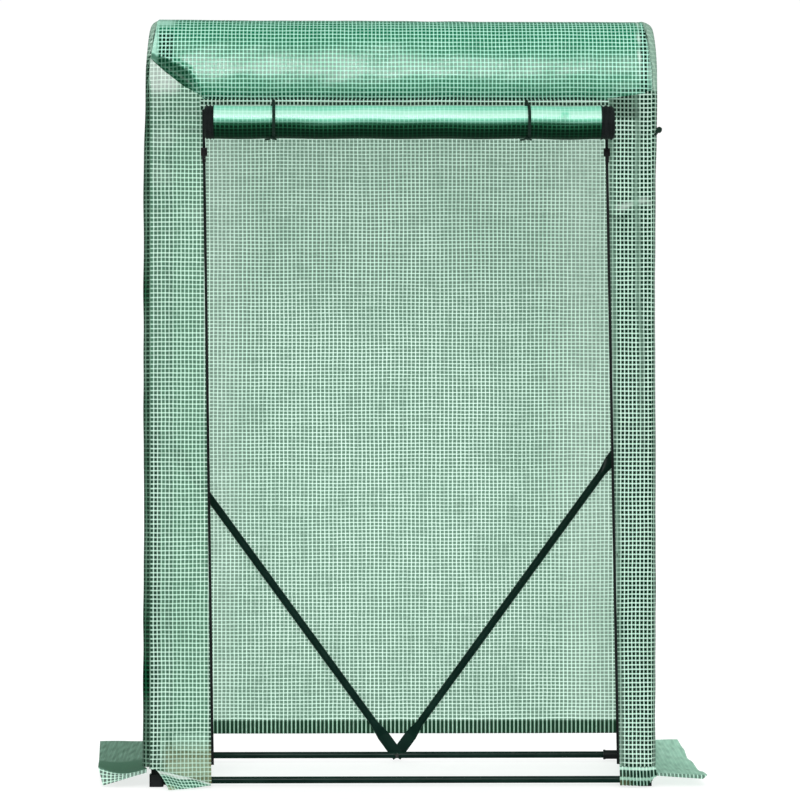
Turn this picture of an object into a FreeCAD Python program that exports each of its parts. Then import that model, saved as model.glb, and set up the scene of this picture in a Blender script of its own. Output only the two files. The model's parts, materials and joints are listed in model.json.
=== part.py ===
"""Mini tube-frame greenhouse with a zipped roll-up door: 1.0 m wide, 0.5 m deep, 1.5 m high over its roof.

Millimetres, +X to the right, +Y to the back, +Z up, with the door side towards -Y.
The origin is on the ground, in the middle of everything's footprint.
"""
import FreeCAD, Part
import math
import os
import re

import Sketcher
from FreeCAD import Placement, Rotation, Vector

DIMENSIONS = {
    # The cover's outside, and where the middle of its depth lies once the rolled door is counted.
    "cover_width": 1000.0,
    "cover_depth": 500.0,
    "total_height": 1515.0,
    "frame_y": 40.0,
    "skin": 1.2,
    "seam_gap": 0.3,
    # Steel tubes.
    "post_x": 478.0,
    "post_y": 228.0,
    "post_radius": 8.0,
    "rail_radius": 6.75,
    "tube_wall": 1.0,
    "rail_z": 12.0,
    "post_foot": 24.0,
    "joint_z": 720.0,
    "spigot_length": 30.0,
    "spigot_gap": 0.1,
    "step_height": 6.0,
    "eave_z": 1318.0,
    "butt_gap": 2.0,
    "rail_inset": 12.0,
    # Plastic connectors.
    "socket_gap": 0.1,
    "socket_wall": 2.4,
    "socket_length": 45.0,
    "socket_floor": 10.0,
    "seat_depth": 1.0,
    "sleeve_below": 30.0,
    "sleeve_above": 20.0,
    "rim_height": 4.0,
    "rim_width": 1.0,
    "foot_block": 27.0,
    "foot_corner": 5.0,
    # Roof arch, measured on the outside of the cover.
    "haunch_radius": 300.0,
    "haunch_angle": 26.0,
    "shoulder_radius": 60.0,
    "shoulder_angle": 80.0,
    "crown_flat": 34.0,
    # V brace on the back of the frame.
    "brace_radius": 8.0,
    "brace_top": 668.0,
    "brace_gap": 0.2,
    "pad_width": 25.0,
    "pad_thickness": 2.2,
    "pad_tip": 5.0,
    "pad_length": 50.0,
    "pad_neck": 30.0,
    "bolt_radius": 2.5,
    "bolt_gap": 0.1,
    "bolt_end": 1.0,
    "head_radius": 5.0,
    "head_top": 3.2,
    "head_height": 3.0,
    "nut_radius": 4.6,
    "nut_height": 4.0,
    # Cover panels.
    "hem_seam": 1336.0,
    "hem_foot": 1323.0,
    "hem_thickness": 3.0,
    "rear_foot": 55.0,
    "side_foot": 40.0,
    "strip_foot": 44.0,
    "door_left_foot": -365.0,
    "door_left_top": -383.0,
    "door_right_foot": 422.0,
    "door_right_top": 398.0,
    "tape_width": 9.0,
    "tape_thickness": 1.2,
    "coil_width": 3.0,
    "coil_thickness": 2.4,
    # Flaps of the cover that lie on the ground.
    "flap_reach": 100.0,
    "flap_drop": 38.0,
    "flap_depth": 470.0,
    "flap_thickness": 2.0,
    "front_flap_reach": 62.0,
    # Rolled door.
    "roll_radius": 33.0,
    "roll_z": 1298.0,
    "roll_clear": 12.0,
    "roll_left": -381.0,
    "roll_right": 412.0,
    "roll_edge_left": 18.0,
    "roll_edge_right": 25.0,
    "roll_edge_gap": 0.2,
    "tie_width": 6.0,
    "tie_thickness": 1.8,
    "tie_gap": 0.2,
    "tie_left_x": -249.0,
    "tie_right_x": 245.0,
    "curtain_side": 9.5,
    "curtain_thickness": 0.8,
    # Zip sliders and their pulls.
    "slider_z": 1240.0,
    "slider_width": 12.0,
    "slider_height": 16.0,
    "slider_plate": 1.5,
    "slider_gap": 0.4,
    "bridge_width": 3.0,
    "pin_radius": 0.8,
    "pin_reach": 2.6,
    "pin_drop": 3.0,
    "cheek_width": 1.2,
    "cheek_height": 3.6,
    "eye_width": 3.2,
    "eye_radius": 2.2,
    "eye_side": 0.3,
    "eye_gap": 0.1,
    "pull_width": 7.0,
    "pull_length": 27.0,
    "pull_thickness": 1.4,
    "pull_neck": 4.5,
    "pull_hole": 1.6,
    # Knotted tie of the cover, outside the front right corner.
    "knot_radius": 3.5,
    "knot_cord": 1.0,
    "knot_z": 1284.0,
}

doc = FreeCAD.newDocument("greenhouse")
nodes = []


def make_sheet():
    """Writes the driving dimensions into a spreadsheet, one alias to a row."""
    sheet = doc.addObject("Spreadsheet::Sheet", "dims")
    for row, (alias, number) in enumerate(DIMENSIONS.items(), start=1):
        sheet.set(f"A{row}", alias)
        sheet.set(f"B{row}", str(number))
        sheet.setAlias(f"B{row}", alias)
    doc.recompute()
    return sheet


dims = make_sheet()


def ex(text):
    """The expression with each alias pointed at the spreadsheet."""
    return re.sub(r"[a-z][a-z0-9_]*", lambda m: f"dims.{m[0]}" if m[0] in DIMENSIONS else m[0], str(text))


def val(text):
    """The number that an expression in the spreadsheet's aliases comes to."""
    return float(dims.evalExpression(ex(text)))


def bind(thing, **sizes):
    """Ties properties to expressions in the spreadsheet's aliases."""
    for name, text in sizes.items():
        thing.setExpression(name, ex(text))
    return thing


def place(thing, x=0, y=0, z=0, turn=None):
    """Turns a thing about its origin, then puts it at x, y, z, each one an expression."""
    thing.Placement = Placement(Vector(), turn or Rotation())
    for axis, text in (("x", x), ("y", y), ("z", z)):
        thing.setExpression(f"Placement.Base.{axis}", ex(text))
    return thing


def node(thing, label):
    """Names a finished sub-part and lists it."""
    thing.Label = label
    nodes.append(thing)
    return thing


def about(axis, degrees):
    """Turn about X, Y or Z."""
    return Rotation(Vector(*(float(axis == name) for name in "xyz")), degrees)


ALONG_X = about("y", 90)
ALONG_Y = about("x", -90)
STANDING = about("x", 90)


def cylinder(radius, height, x=0, y=0, z=0, turn=None):
    """Solid cylinder whose axis is Z before the turn."""
    made = bind(doc.addObject("Part::Cylinder", "cylinder"), Radius=radius, Height=height)
    return place(made, x, y, z, turn)


def block(length, width, height, x=0, y=0, z=0, turn=None):
    """Solid box, placed by its lowest corner."""
    made = bind(doc.addObject("Part::Box", "block"), Length=length, Width=width, Height=height)
    return place(made, x, y, z, turn)


def fuse(*shapes):
    """Several solids as one."""
    made = doc.addObject("Part::MultiFuse", "fuse")
    made.Shapes = list(shapes)
    made.Refine = True
    return made


def cut(base, tool):
    """The base without the tool."""
    made = doc.addObject("Part::Cut", "cut")
    made.Base = base
    made.Tool = tool
    return made


def group(shapes):
    """Separate solids kept in one sub-part."""
    made = doc.addObject("Part::Compound", "group")
    made.Links = shapes
    return made


def new_sketch(body, role, offset=None):
    """Sketch on one of the body's own origin planes, or offset from it."""
    sketch = body.newObject("Sketcher::SketchObject", "sketch")
    plane = next(f for f in body.Origin.OriginFeatures if f.Role == role)
    sketch.AttachmentSupport = [(plane, "")]
    sketch.MapMode = "FlatFace"
    sketch.AttachmentOffset = offset or Placement()
    return sketch


def add_circle(sketch, name, radius):
    """Circle about the sketch's origin, its radius tied to the spreadsheet."""
    index = sketch.addGeometry(Part.Circle(Vector(), Vector(0, 0, 1), val(radius)))
    sketch.addConstraint(Sketcher.Constraint("Coincident", index, 3, -1, 1))
    row = sketch.addConstraint(Sketcher.Constraint("Radius", index, val(radius)))
    sketch.renameConstraint(row, name)
    sketch.setExpression(f"Constraints.{name}", ex(radius))


def add_outline(sketch, edges, closed=True):
    """Adds edges that follow one another, and ties each one's end to the next one's."""
    rows = list(sketch.addGeometry(edges))
    pairs = list(zip(rows, rows[1:] + rows[:1]))
    for here, there in pairs if closed else pairs[:-1]:
        joints = [(i, j) for i in (1, 2) for j in (1, 2)]
        i, j = min(joints, key=lambda k: (sketch.getPoint(here, k[0]) - sketch.getPoint(there, k[1])).Length)
        sketch.addConstraint(Sketcher.Constraint("Coincident", here, i, there, j))


def pad(body, sketch, length):
    """Extrudes a sketch along its plane's normal."""
    made = body.newObject("PartDesign::Pad", "pad")
    made.Profile = sketch
    return bind(made, Length=length)


def tube(radius, length):
    """Hollow steel tube along Z from its body's origin."""
    body = doc.addObject("PartDesign::Body", "tube")
    ring = new_sketch(body, "XY_Plane")
    add_circle(ring, "outer", radius)
    add_circle(ring, "inner", f"{radius} - tube_wall")
    pad(body, ring, length)
    return body


def bolt_hole(x, z):
    """Drill along Y for a brace bolt through the tubes on the back of the frame."""
    front = "frame_y + post_y - 2 * post_radius"
    return cylinder("bolt_radius + bolt_gap", "5 * post_radius", x, front, z, ALONG_Y)


SIDES = {"left": -1, "right": 1}
ENDS = {"front": -1, "rear": 1}


def make_posts():
    """Four posts of two tubes each. The upper tube's reduced end stands in the lower tube."""
    inner = "post_radius - tube_wall"
    spigot = f"{inner} - spigot_gap"
    for end, ey in ENDS.items():
        for side, sx in SIDES.items():
            spot = {"x": f"{sx} * post_x", "y": f"frame_y + {ey} * post_y"}
            lower = place(tube("post_radius", "joint_z - post_foot"), z="post_foot", **spot)
            if end == "rear":
                lower = cut(lower, bolt_hole(spot["x"], "brace_top"))
            node(lower, f"post_lower_{end}_{side}")
            outside = fuse(
                cylinder("post_radius", "eave_z - butt_gap - joint_z", z="joint_z", **spot),
                cylinder(spigot, "spigot_length + step_height", z="joint_z - spigot_length", **spot),
            )
            below = "joint_z - 1.5 * spigot_length"
            inside = fuse(
                cylinder(inner, "eave_z - joint_z", z="joint_z + step_height", **spot),
                cylinder(f"{spigot} - tube_wall", "2 * spigot_length", z=below, **spot),
            )
            node(cut(outside, inside), f"post_upper_{end}_{side}")


def make_rails():
    """Straight tubes between the connectors, all of one diameter."""
    across = "2 * (post_x - rail_inset)"
    along = "2 * (post_y - rail_inset)"
    for level in ("bottom", "eave"):
        height = {"bottom": "rail_z", "eave": "eave_z"}[level]
        for end, ey in ENDS.items():
            rail = place(tube("rail_radius", across), "rail_inset - post_x", f"frame_y + {ey} * post_y",
                         height, ALONG_X)
            if (level, end) == ("bottom", "rear"):
                rail = cut(rail, bolt_hole(0, height))
            node(rail, f"rail_{level}_{end}")
    for side, sx in SIDES.items():
        rail = tube("rail_radius", along)
        node(place(rail, f"{sx} * post_x", "frame_y - post_y + rail_inset", "rail_z", ALONG_Y),
             f"rail_bottom_{side}")
    ridge = tube("rail_radius", across)
    node(place(ridge, "rail_inset - post_x", "frame_y", RIDGE_Z, ALONG_X), "rail_ridge")


def arch_arcs():
    """Radius, centre and angles of the three tangent arcs of half the roof, and their springing height.

    A centre is (distance in from the cover's face, height); angles run from 0 at the springing to 90
    degrees at the crown. The crown's radius is what closes the depth, less the flat at the top."""
    haunch, shoulder = math.radians(val("haunch_angle")), math.radians(val("shoulder_angle"))
    r1, r2 = val("haunch_radius"), val("shoulder_radius")
    x2, z2 = r1 - (r1 - r2) * math.cos(haunch), (r1 - r2) * math.sin(haunch)
    x3 = val("cover_depth / 2 - crown_flat")
    r3 = r2 + (x3 - x2) / math.cos(shoulder)
    z3 = z2 + (r2 - r3) * math.sin(shoulder)
    springing = val("total_height") - z3 - r3
    arcs = [(r1, r1, 0.0, 0.0, haunch), (r2, x2, z2, haunch, shoulder), (r3, x3, z3, shoulder, math.pi / 2)]
    return [(r, x, z + springing, a, b) for r, x, z, a, b in arcs], springing


ARCS, SPRINGING = arch_arcs()
RIDGE_Z = "total_height - cover_depth / 2 + post_y"


def line(a, b):
    """Straight edge between two points of a sketch."""
    return Part.LineSegment(Vector(*a, 0), Vector(*b, 0))


def half_arch(inset, sign):
    """Arcs from the springing to the crown, moved inwards by inset: front half for -1, back half for 1."""
    half = val("cover_depth / 2")
    edges = []
    for radius, x, z, start, stop in ARCS:
        reach = radius - inset
        turns = (start, (start + stop) / 2, stop)
        spots = [Vector(sign * (half - x + reach * math.cos(a)), z + reach * math.sin(a), 0) for a in turns]
        edges.append(Part.Arc(*spots))
    return edges


def whole_arch(inset, foot):
    """Open outline over the roof, from foot at the front to foot at the back."""
    half = val("cover_depth / 2") - inset
    crown, flat = val("total_height") - inset, val("crown_flat")
    front, back = half_arch(inset, -1), half_arch(inset, 1)
    rise = [line((-half, foot), (-half, SPRINGING))]
    fall = [line((half, SPRINGING), (half, foot))]
    return rise + front + [line((-flat, crown), (flat, crown))] + back[::-1] + fall


def make_hoops():
    """Two roof hoops, each bent from a front and a back tube that meet in the ridge connector."""
    inset = val("cover_depth / 2 - post_y")
    start, crown = val("eave_z + butt_gap"), val("total_height") - inset
    flat, gap = val("crown_flat"), val("butt_gap")
    for end, ey in ENDS.items():
        for side, sx in SIDES.items():
            body = doc.addObject("PartDesign::Body", "hoop")
            spine = new_sketch(body, "YZ_Plane")
            face = ey * val("post_y")
            edges = [line((face, start), (face, SPRINGING))] + half_arch(inset, ey)
            add_outline(spine, edges + [line((ey * flat, crown), (ey * gap, crown))], closed=False)
            ring = new_sketch(body, "XY_Plane", Placement(Vector(0, face, start), Rotation()))
            add_circle(ring, "outer", "post_radius")
            add_circle(ring, "inner", "post_radius - tube_wall")
            pipe = body.newObject("PartDesign::AdditivePipe", "pipe")
            pipe.Profile = ring
            pipe.Spine = spine
            node(place(body, f"{sx} * post_x", "frame_y"), f"roof_hoop_{end}_{side}")


def along(turn, distance):
    """Expressions for the point at a distance along a turned Z axis."""
    direction = turn.multVec(Vector(0, 0, 1))
    return {name: f"({distance}) * ({round(getattr(direction, name))})" for name in "xyz"}


def socket(tube_radius, length, turn, z="0", floor="socket_floor"):
    """Outside and bore of one connector arm that starts at height z: a sleeve with a raised rim."""
    outer = f"{tube_radius} + socket_gap + socket_wall"

    def at(distance):
        spot = along(turn, distance)
        spot["z"] = f"{spot['z']} + {z}"
        return spot

    sleeve = cylinder(outer, length, turn=turn, **at("0"))
    rim = cylinder(f"{outer} + rim_width", "rim_height", turn=turn, **at(f"{length} - rim_height"))
    bore = cylinder(f"{tube_radius} + socket_gap", length, turn=turn, **at(floor))
    return [sleeve, rim], bore


def make_foot_connectors():
    """Four three-way corners on square feet. Each holds a post and two bottom rails."""
    turns = {("front", "left"): 0, ("front", "right"): 90, ("rear", "right"): 180, ("rear", "left"): 270}
    for (end, side), degrees in turns.items():
        body = doc.addObject("PartDesign::Body", "foot")
        base = new_sketch(body, "XY_Plane")
        half = val("foot_block / 2")
        corners = [(-half, -half), (half, -half), (half, half), (-half, half)]
        add_outline(base, [line(a, b) for a, b in zip(corners, corners[1:] + corners[:1])])
        slab = pad(body, base, "2 * rail_z")
        doc.recompute()
        upright = [f"Edge{i}" for i, e in enumerate(slab.Shape.Edges, 1)
                   if abs(e.tangentAt(e.FirstParameter).z) > 0.99]
        fillet = body.newObject("PartDesign::Fillet", "fillet")
        fillet.Base = (slab, upright)
        bind(fillet, Radius="foot_corner")
        arms = [socket("post_radius", "socket_length + rail_z", Rotation(), floor="post_foot - seat_depth"),
                socket("rail_radius", "socket_length", ALONG_X, "rail_z"),
                socket("rail_radius", "socket_length", ALONG_Y, "rail_z")]
        shells = [body] + [shell for outside, _ in arms for shell in outside]
        made = cut(fuse(*shells), fuse(*[bore for _, bore in arms]))
        spot = (f"{SIDES[side]} * post_x", f"frame_y + {ENDS[end]} * post_y")
        node(place(made, *spot, 0, about("z", degrees)), f"foot_connector_{end}_{side}")


def through_connector(axis_turn, below, above):
    """Tee: a sleeve along one line for two butted tubes, and an arm along X for a rail."""
    outer = "post_radius + socket_gap + socket_wall"
    length = f"{below} + {above}"
    sleeve = cylinder(outer, length, turn=axis_turn, **along(axis_turn, f"-({below})"))
    rims = [cylinder(f"{outer} + rim_width", "rim_height", turn=axis_turn, **along(axis_turn, spot))
            for spot in (f"-({below})", f"{above} - rim_height")]
    bore = cylinder("post_radius + socket_gap", f"2 * ({length})", turn=axis_turn,
                    **along(axis_turn, f"-({length})"))
    arm, arm_bore = socket("rail_radius", "socket_length", ALONG_X)
    return cut(fuse(sleeve, *rims, *arm), fuse(bore, arm_bore))


def make_tee_connectors():
    """Tees at the eaves, one on each post, and at the ridge, one on each hoop."""
    for side, sx in SIDES.items():
        turn = about("z", 0 if sx < 0 else 180)
        for end, ey in ENDS.items():
            made = through_connector(Rotation(), "sleeve_below", "sleeve_above")
            node(place(made, f"{sx} * post_x", f"frame_y + {ey} * post_y", "eave_z", turn),
                 f"eave_connector_{end}_{side}")
        made = through_connector(ALONG_Y, "sleeve_below", "sleeve_below")
        node(place(made, f"{sx} * post_x", "frame_y", RIDGE_Z, turn), f"ridge_connector_{side}")


BRACE_Y = {
    "left": "post_y + post_radius + brace_gap + pad_thickness / 2",
    "right": "post_y + post_radius + 2 * brace_gap + 1.5 * pad_thickness",
}


def flattened_end(reach, sign):
    """Solid end of a brace: a flat pad round the bolt and a neck that swells to the tube's round."""
    half_axes = {"MajorRadius": "pad_width / 2", "MinorRadius": "pad_thickness / 2"}
    tip = doc.addObject("Part::Extrusion", "tip")
    tip.Base = bind(doc.addObject("Part::Ellipse", "flat"), **half_axes)
    tip.DirMode = "Custom"
    tip.Dir = Vector(0, 0, 1)
    tip.Solid = True
    bind(tip, LengthFwd="pad_tip + pad_length")
    start = "pad_tip" if sign > 0 else "pad_length"
    place(tip, z=f"{reach} - {start}")
    neck = doc.addObject("Part::Loft", "neck")
    flat = bind(doc.addObject("Part::Ellipse", "flat"), **half_axes)
    place(flat, z=f"{reach} + {sign} * pad_length")
    ring = place(bind(doc.addObject("Part::Circle", "ring"), Radius="brace_radius"),
                 z=f"{reach} + {sign} * (pad_length + pad_neck)")
    neck.Sections = [flat, ring]
    neck.Solid = True
    neck.Ruled = True
    return [tip, neck]


def make_braces():
    """V brace: two tubes with flattened ends, bolted to the rear posts and to the rear bottom rail."""
    length = "sqrt(post_x ^ 2 + (brace_top - rail_z) ^ 2)"
    lean = math.degrees(math.atan2(val("post_x"), val("brace_top - rail_z")))
    ends = "pad_length + pad_neck"
    for side, sx in SIDES.items():
        outer = cylinder("brace_radius", f"{length} - 2 * ({ends})", z=ends)
        inner = cylinder("brace_radius - tube_wall", f"{length} - 2 * ({ends})", z=ends)
        solid = fuse(cut(outer, inner), *flattened_end("0", 1), *flattened_end(length, -1))
        drills = [cylinder("bolt_radius + bolt_gap", "4 * pad_thickness", 0, "-2 * pad_thickness", z, ALONG_Y)
                  for z in ("0", length)]
        made = cut(solid, fuse(*drills))
        node(place(made, 0, f"frame_y + {BRACE_Y[side]}", "rail_z", about("y", sx * lean)), f"brace_{side}")


def make_bolts():
    """Three brace bolts, and their nuts on the back of the braces."""
    bolts, nuts = [], []
    behind = {side: f"frame_y + {y} + pad_thickness / 2 + bolt_gap" for side, y in BRACE_Y.items()}
    for x, z, radius, side in (("-post_x", "brace_top", "post_radius", "left"),
                               ("post_x", "brace_top", "post_radius", "right"),
                               ("0", "rail_z", "rail_radius", "right")):
        front = f"frame_y + post_y - {radius} - bolt_gap"
        reach = f"{behind[side]} + nut_height + bolt_end - ({front})"
        shank = cylinder("bolt_radius", reach, x, front, z, ALONG_Y)
        head = bind(doc.addObject("Part::Cone", "head"), Radius1="head_top", Radius2="head_radius",
                    Height="head_height")
        place(head, x, f"{front} - head_height", z, ALONG_Y)
        bolts.append(fuse(shank, head))
        hexagon = doc.addObject("Part::Prism", "hexagon")
        hexagon.Polygon = 6
        bind(hexagon, Circumradius="nut_radius", Height="nut_height")
        place(hexagon, x, behind[side], z, ALONG_Y)
        nuts.append(cut(hexagon, bolt_hole(x, z)))
    node(group(bolts), "brace_bolts")
    node(group(nuts), "brace_nuts")


FRONT = "frame_y - cover_depth / 2"
TUCK = "skin + seam_gap"
PANEL_X = f"cover_width / 2 - {TUCK}"


def make_back_and_sides():
    """Rear wall, and the two side walls that fill the ends of the roof."""
    tall = "hem_seam - seam_gap - rear_foot"
    spot = (f"-({PANEL_X})", "frame_y + cover_depth / 2 - skin", "rear_foot")
    node(block(f"2 * ({PANEL_X})", "skin", tall, *spot), "cover_rear_wall")
    inset = val(TUCK)
    foot = val("side_foot")
    half = val("cover_depth / 2") - inset
    for side, x in (("left", "-cover_width / 2"), ("right", "cover_width / 2 - skin")):
        body = doc.addObject("PartDesign::Body", "wall")
        outline = new_sketch(body, "YZ_Plane")
        add_outline(outline, whole_arch(inset, foot) + [line((half, foot), (-half, foot))])
        pad(body, outline, "skin")
        node(place(body, x, "frame_y"), f"cover_side_wall_{side}")


def make_roof():
    """Roof skin over the hoops, and the hem under its front edge that the door hangs from."""
    body = doc.addObject("PartDesign::Body", "roof")
    outline = new_sketch(body, "YZ_Plane")
    foot, skin, half = val("hem_seam"), val("skin"), val("cover_depth / 2")
    outer, inner = whole_arch(0, foot), whole_arch(skin, foot)
    back, front = line((half, foot), (half - skin, foot)), line((skin - half, foot), (-half, foot))
    add_outline(outline, outer + [back] + inner[::-1] + [front])
    pad(body, outline, "cover_width")
    node(place(body, "-cover_width / 2", "frame_y"), "cover_roof")
    left, right = "door_left_top - tape_width + seam_gap", "door_right_top + tape_width - seam_gap"
    hem = block(f"{right} - ({left})", "hem_thickness", "hem_seam - hem_foot - seam_gap", left,
                f"{FRONT} + skin - hem_thickness", "hem_foot")
    node(hem, "cover_door_hem")


DOOR = {
    "left": ("door_left_foot", "door_left_top", 1),
    "right": ("door_right_foot", "door_right_top", -1),
}


def lean_of(side):
    """Turn that lays the Z axis along one side of the door opening."""
    foot, top, _ = DOOR[side]
    return about("y", -math.degrees(math.atan2(val(f"{foot} - ({top})"), val("hem_seam - strip_foot"))))


def beside_door(side, z):
    """X of the door opening's edge at a height."""
    foot, top, _ = DOOR[side]
    return f"{foot} + ({top} - ({foot})) * ({z} - strip_foot) / (hem_seam - strip_foot)"


def make_strips():
    """Front strips each side of the door, and the zip tapes with coils along their inner edges."""
    middle = f"{FRONT} + skin / 2"
    for side, (foot, top, inward) in DOOR.items():
        strip = doc.addObject("Part::Wedge", "strip")
        edges = [f"{x} - {inward} * (tape_width + seam_gap)" for x in (foot, top)]
        low, high = ((f"-({PANEL_X})",) * 2, edges) if inward > 0 else (edges, (PANEL_X,) * 2)
        bind(strip, Xmin=low[0], Xmax=high[0], X2min=low[1], X2max=high[1], Ymin=0,
             Ymax="hem_seam - seam_gap - strip_foot", Zmin=0, Zmax="skin", Z2min=0, Z2max="skin")
        node(place(strip, 0, f"{FRONT} + skin", "strip_foot", STANDING), f"cover_front_strip_{side}")
        tall = "hem_foot - seam_gap - strip_foot"
        tape_x, coil_x = ("-tape_width", "-coil_width") if inward > 0 else ("0", "0")
        tape = fuse(block("tape_width", "tape_thickness", tall, tape_x, "-tape_thickness / 2"),
                    block("coil_width", "coil_thickness", tall, coil_x, "-coil_thickness / 2"))
        node(place(tape, foot, middle, "strip_foot", lean_of(side)), f"zip_tape_{side}")


def make_flaps():
    """Loose flaps of cover that slope from the walls to the ground, at the sides and under the strips."""
    slope = math.degrees(math.atan2(val("flap_drop"), val("flap_reach")))
    size = ("sqrt(flap_reach ^ 2 + flap_drop ^ 2)", "flap_depth", "flap_thickness")
    y = "frame_y - flap_depth / 2"
    outer = "cover_width / 2 + seam_gap"
    node(block(*size, f"-({outer} + flap_reach)", y, "side_foot - flap_drop", about("y", -slope)),
         "ground_flap_left")
    node(block(*size, outer, y, "side_foot", about("y", slope)), "ground_flap_right")
    slope = math.degrees(math.atan2(val("flap_drop"), val("front_flap_reach")))
    run = "sqrt(front_flap_reach ^ 2 + flap_drop ^ 2)"
    for side, (foot, _, inward) in DOOR.items():
        edge = f"{foot} - {inward} * (tape_width + seam_gap)"
        low, high = (f"-({PANEL_X})", edge) if inward > 0 else (edge, PANEL_X)
        flap = block(f"{high} - ({low})", run, "flap_thickness", low,
                     f"{FRONT} - seam_gap - front_flap_reach", "strip_foot - flap_drop", about("x", slope))
        node(flap, f"ground_flap_front_{side}")


ROLL_Y = f"{FRONT} - roll_clear - roll_radius"


def make_door():
    """Rolled door with its black wound zip edges and two ties, and the short curtain it hangs from."""
    spot = {"y": ROLL_Y, "z": "roll_z", "turn": ALONG_X}
    body_left, body_right = "roll_left + roll_edge_left", "roll_right - roll_edge_right"
    node(cylinder("roll_radius", f"{body_right} - ({body_left})", body_left, **spot), "door_roll")
    node(cylinder("roll_radius", "roll_edge_left - roll_edge_gap", "roll_left", **spot), "roll_zip_edge_left")
    node(cylinder("roll_radius", "roll_edge_right - roll_edge_gap", f"{body_right} + roll_edge_gap", **spot),
         "roll_zip_edge_right")
    for side in SIDES:
        x = f"tie_{side}_x - tie_width / 2"
        ring = cut(cylinder("roll_radius + tie_gap + tie_thickness", "tie_width", x, **spot),
                   cylinder("roll_radius + tie_gap", "tie_width", x, **spot))
        node(ring, f"roll_tie_{side}")
    left, right = "door_left_top + curtain_side", "door_right_top - curtain_side"
    node(block(f"{right} - ({left})", "curtain_thickness", "hem_foot - seam_gap - roll_z", left,
               f"{FRONT} + skin / 2 - curtain_thickness / 2", "roll_z"), "door_curtain")


PIN_Y = "-(coil_thickness / 2 + slider_gap + slider_plate + pin_reach)"
PIN_Z = "slider_height / 2 - pin_drop"


def make_slider(side):
    """Zip slider that wraps the coil, with a bail for the pull on its front."""
    _, _, inward = DOOR[side]
    outer = f"{inward} * (slider_gap + bridge_width)"
    low = f"{outer} - slider_width" if inward > 0 else outer
    middle = f"{outer} - {inward} * slider_width / 2"
    bridge = "slider_gap" if inward > 0 else "-slider_gap - bridge_width"
    clear = "coil_thickness / 2 + slider_gap"
    base = "-slider_height / 2"
    cheek = "eye_width / 2 + eye_side"
    cheek_depth = "pin_reach + 1.5 * pin_radius"
    shapes = [
        block("slider_width", "slider_plate", "slider_height", low, f"-({clear}) - slider_plate", base),
        block("slider_width", "slider_plate", "slider_height", low, clear, base),
        block("bridge_width", f"2 * ({clear})", "slider_height", bridge, f"-({clear})", base),
        cylinder("pin_radius", f"2 * ({cheek}) + cheek_width", f"{middle} - ({cheek}) - cheek_width / 2",
                 PIN_Y, PIN_Z, ALONG_X),
    ]
    for x in (f"{middle} + {cheek}", f"{middle} - ({cheek}) - cheek_width"):
        shapes.append(block("cheek_width", cheek_depth, "cheek_height", x,
                            f"-({clear}) - slider_plate - ({cheek_depth})", f"{PIN_Z} - cheek_height / 2"))
    return fuse(*shapes), middle


def make_pull(middle):
    """Flat pull tab that hangs from the slider's pin by its eye."""
    drop = f"{PIN_Z} - pull_length + pull_width / 2"
    plate_y = f"{PIN_Y} - pull_thickness / 2"
    solid = fuse(
        cylinder("eye_radius", "eye_width", f"{middle} - eye_width / 2", PIN_Y, PIN_Z, ALONG_X),
        block("eye_width", "pull_thickness", "pull_neck", f"{middle} - eye_width / 2", plate_y,
              f"{PIN_Z} - pull_neck"),
        block("pull_width", "pull_thickness", "pull_length - pull_neck - pull_width / 2",
              f"{middle} - pull_width / 2", plate_y, drop),
        cylinder("pull_width / 2", "pull_thickness", middle, plate_y, drop, ALONG_Y),
    )
    holes = fuse(
        cylinder("pin_radius + eye_gap", "2 * eye_width", f"{middle} - eye_width", PIN_Y, PIN_Z, ALONG_X),
        cylinder("pull_hole", "3 * pull_thickness", middle, f"{plate_y} - pull_thickness", drop, ALONG_Y),
    )
    return cut(solid, holes)


def make_sliders():
    """A slider and its pull on each zip, parked just under the rolled door."""
    for side in DOOR:
        spot = {"x": beside_door(side, "slider_z"), "y": f"{FRONT} + skin / 2", "z": "slider_z",
                "turn": lean_of(side)}
        slider, middle = make_slider(side)
        node(place(slider, **spot), f"zip_slider_{side}")
        node(place(make_pull(middle), **spot), f"zip_pull_{side}")


def make_knot():
    """Small knotted loop of the cover's corner tie."""
    loop = bind(doc.addObject("Part::Torus", "loop"), Radius1="knot_radius", Radius2="knot_cord")
    outside = "cover_width / 2 + seam_gap + knot_radius + knot_cord"
    place(loop, outside, f"{FRONT} + knot_radius", "knot_z", ALONG_Y)
    node(loop, "cover_corner_tie")


def check():
    """Stops if anything failed to build."""
    broken = [thing.Label for thing in doc.Objects if {"Invalid", "Error"} & set(thing.State)]
    broken += [thing.Label for thing in nodes if thing.Shape.isNull() or not thing.Shape.isValid()]
    if broken:
        raise RuntimeError("failed: " + ", ".join(broken))


def write():
    """Writes one STEP file for each sub-part, and prints the whole part's size."""
    os.makedirs("parts", exist_ok=True)
    whole = FreeCAD.BoundBox()
    for thing in nodes:
        whole.add(thing.Shape.BoundBox)
        thing.Shape.exportStep(f"parts/{thing.Label}.step")
    print(len(nodes), "sub-parts,", whole)


make_posts()
make_rails()
make_hoops()
make_foot_connectors()
make_tee_connectors()
make_braces()
make_bolts()
make_back_and_sides()
make_roof()
make_strips()
make_flaps()
make_door()
make_sliders()
make_knot()
doc.recompute()
check()
write()
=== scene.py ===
"""Looks of the mini greenhouse: a green grid-film cover over a tube frame, with its zipped door rolled up."""
import json
import math

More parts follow.
